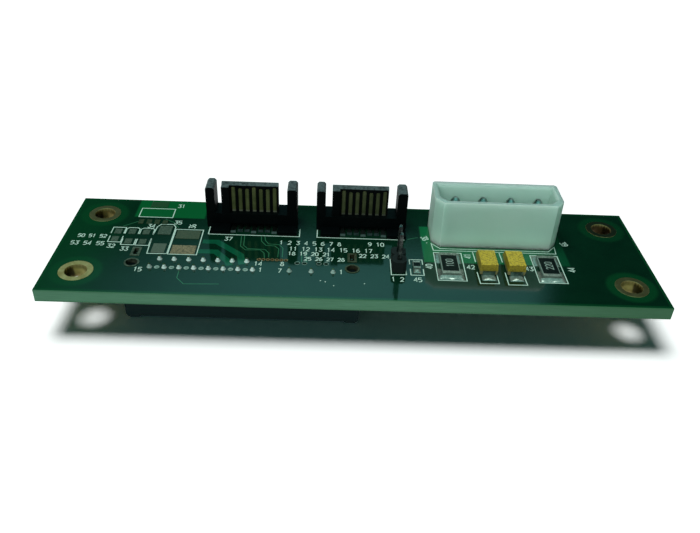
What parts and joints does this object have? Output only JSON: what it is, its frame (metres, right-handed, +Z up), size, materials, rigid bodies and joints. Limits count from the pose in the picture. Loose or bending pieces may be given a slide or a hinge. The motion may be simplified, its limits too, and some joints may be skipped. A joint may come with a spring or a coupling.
{
  "type": "sas interposer card",
  "caption": "Flat green adapter card: a drive receptacle under the board, upright data headers, a power header and a lamp header on top, with plated mounting holes at its corners.",
  "frame": {"origin": "under the centre of the board, in the plane of the drive receptacle's mating face", "axes": "+X along the board towards the power header, +Y towards the data headers' edge, +Z up out of the side that carries the headers"},
  "size_m": [0.1066, 0.0304, 0.0193],
  "materials": {
    "board_mask": "glossy green solder mask on a glass laminate",
    "gold_plate": "dull gold-tan plating",
    "tin": "dull tin plating",
    "solder": "bright solder",
    "contact_gold": "thin gold over nickel",
    "black_plastic": "black moulded plastic with a low sheen",
    "natural_nylon": "natural nylon, milky",
    "white_ceramic": "fired alumina",
    "black_glaze": "black glaze",
    "yellow_epoxy": "moulded yellow resin"
  },
  "bodies": {
    "root": {"circuit_board": "board_mask", "mounting_hole_linings": "gold_plate", "peg_hole_linings": "gold_plate", "lock_slot_linings": "gold_plate", "regulator_pads": "tin", "chip_pads": "tin", "spare_capacitor_pads": "tin", "choke_pads": "tin", "drive_receptacle_housing": "black_plastic", "drive_power_contacts": "contact_gold", "drive_signal_contacts": "contact_gold", "drive_second_port_contacts": "contact_gold", "drive_board_locks": "tin", "drive_power_solder": "solder", "drive_signal_solder": "solder", "drive_second_port_rings": "gold_plate", "data_header_1_housing": "black_plastic", "data_header_1_contacts": "contact_gold", "data_header_1_solder": "solder", "data_header_2_housing": "black_plastic", "data_header_2_contacts": "contact_gold", "data_header_2_solder": "solder", "power_header_housing": "natural_nylon", "power_header_pins": "tin", "power_header_solder": "solder", "lamp_header_base": "black_plastic", "lamp_header_pins": "tin", "lamp_header_solder": "solder", "large_resistor_cores": "white_ceramic", "large_resistor_coats": "black_glaze", "large_resistor_caps": "tin", "large_resistor_solder": "solder", "small_resistor_core": "white_ceramic", "small_resistor_coat": "black_glaze", "small_resistor_caps": "tin", "small_resistor_solder": "solder", "capacitor_bodies": "yellow_epoxy", "capacitor_terminals": "tin", "capacitor_solder": "solder"}
  },
  "joints": []
}
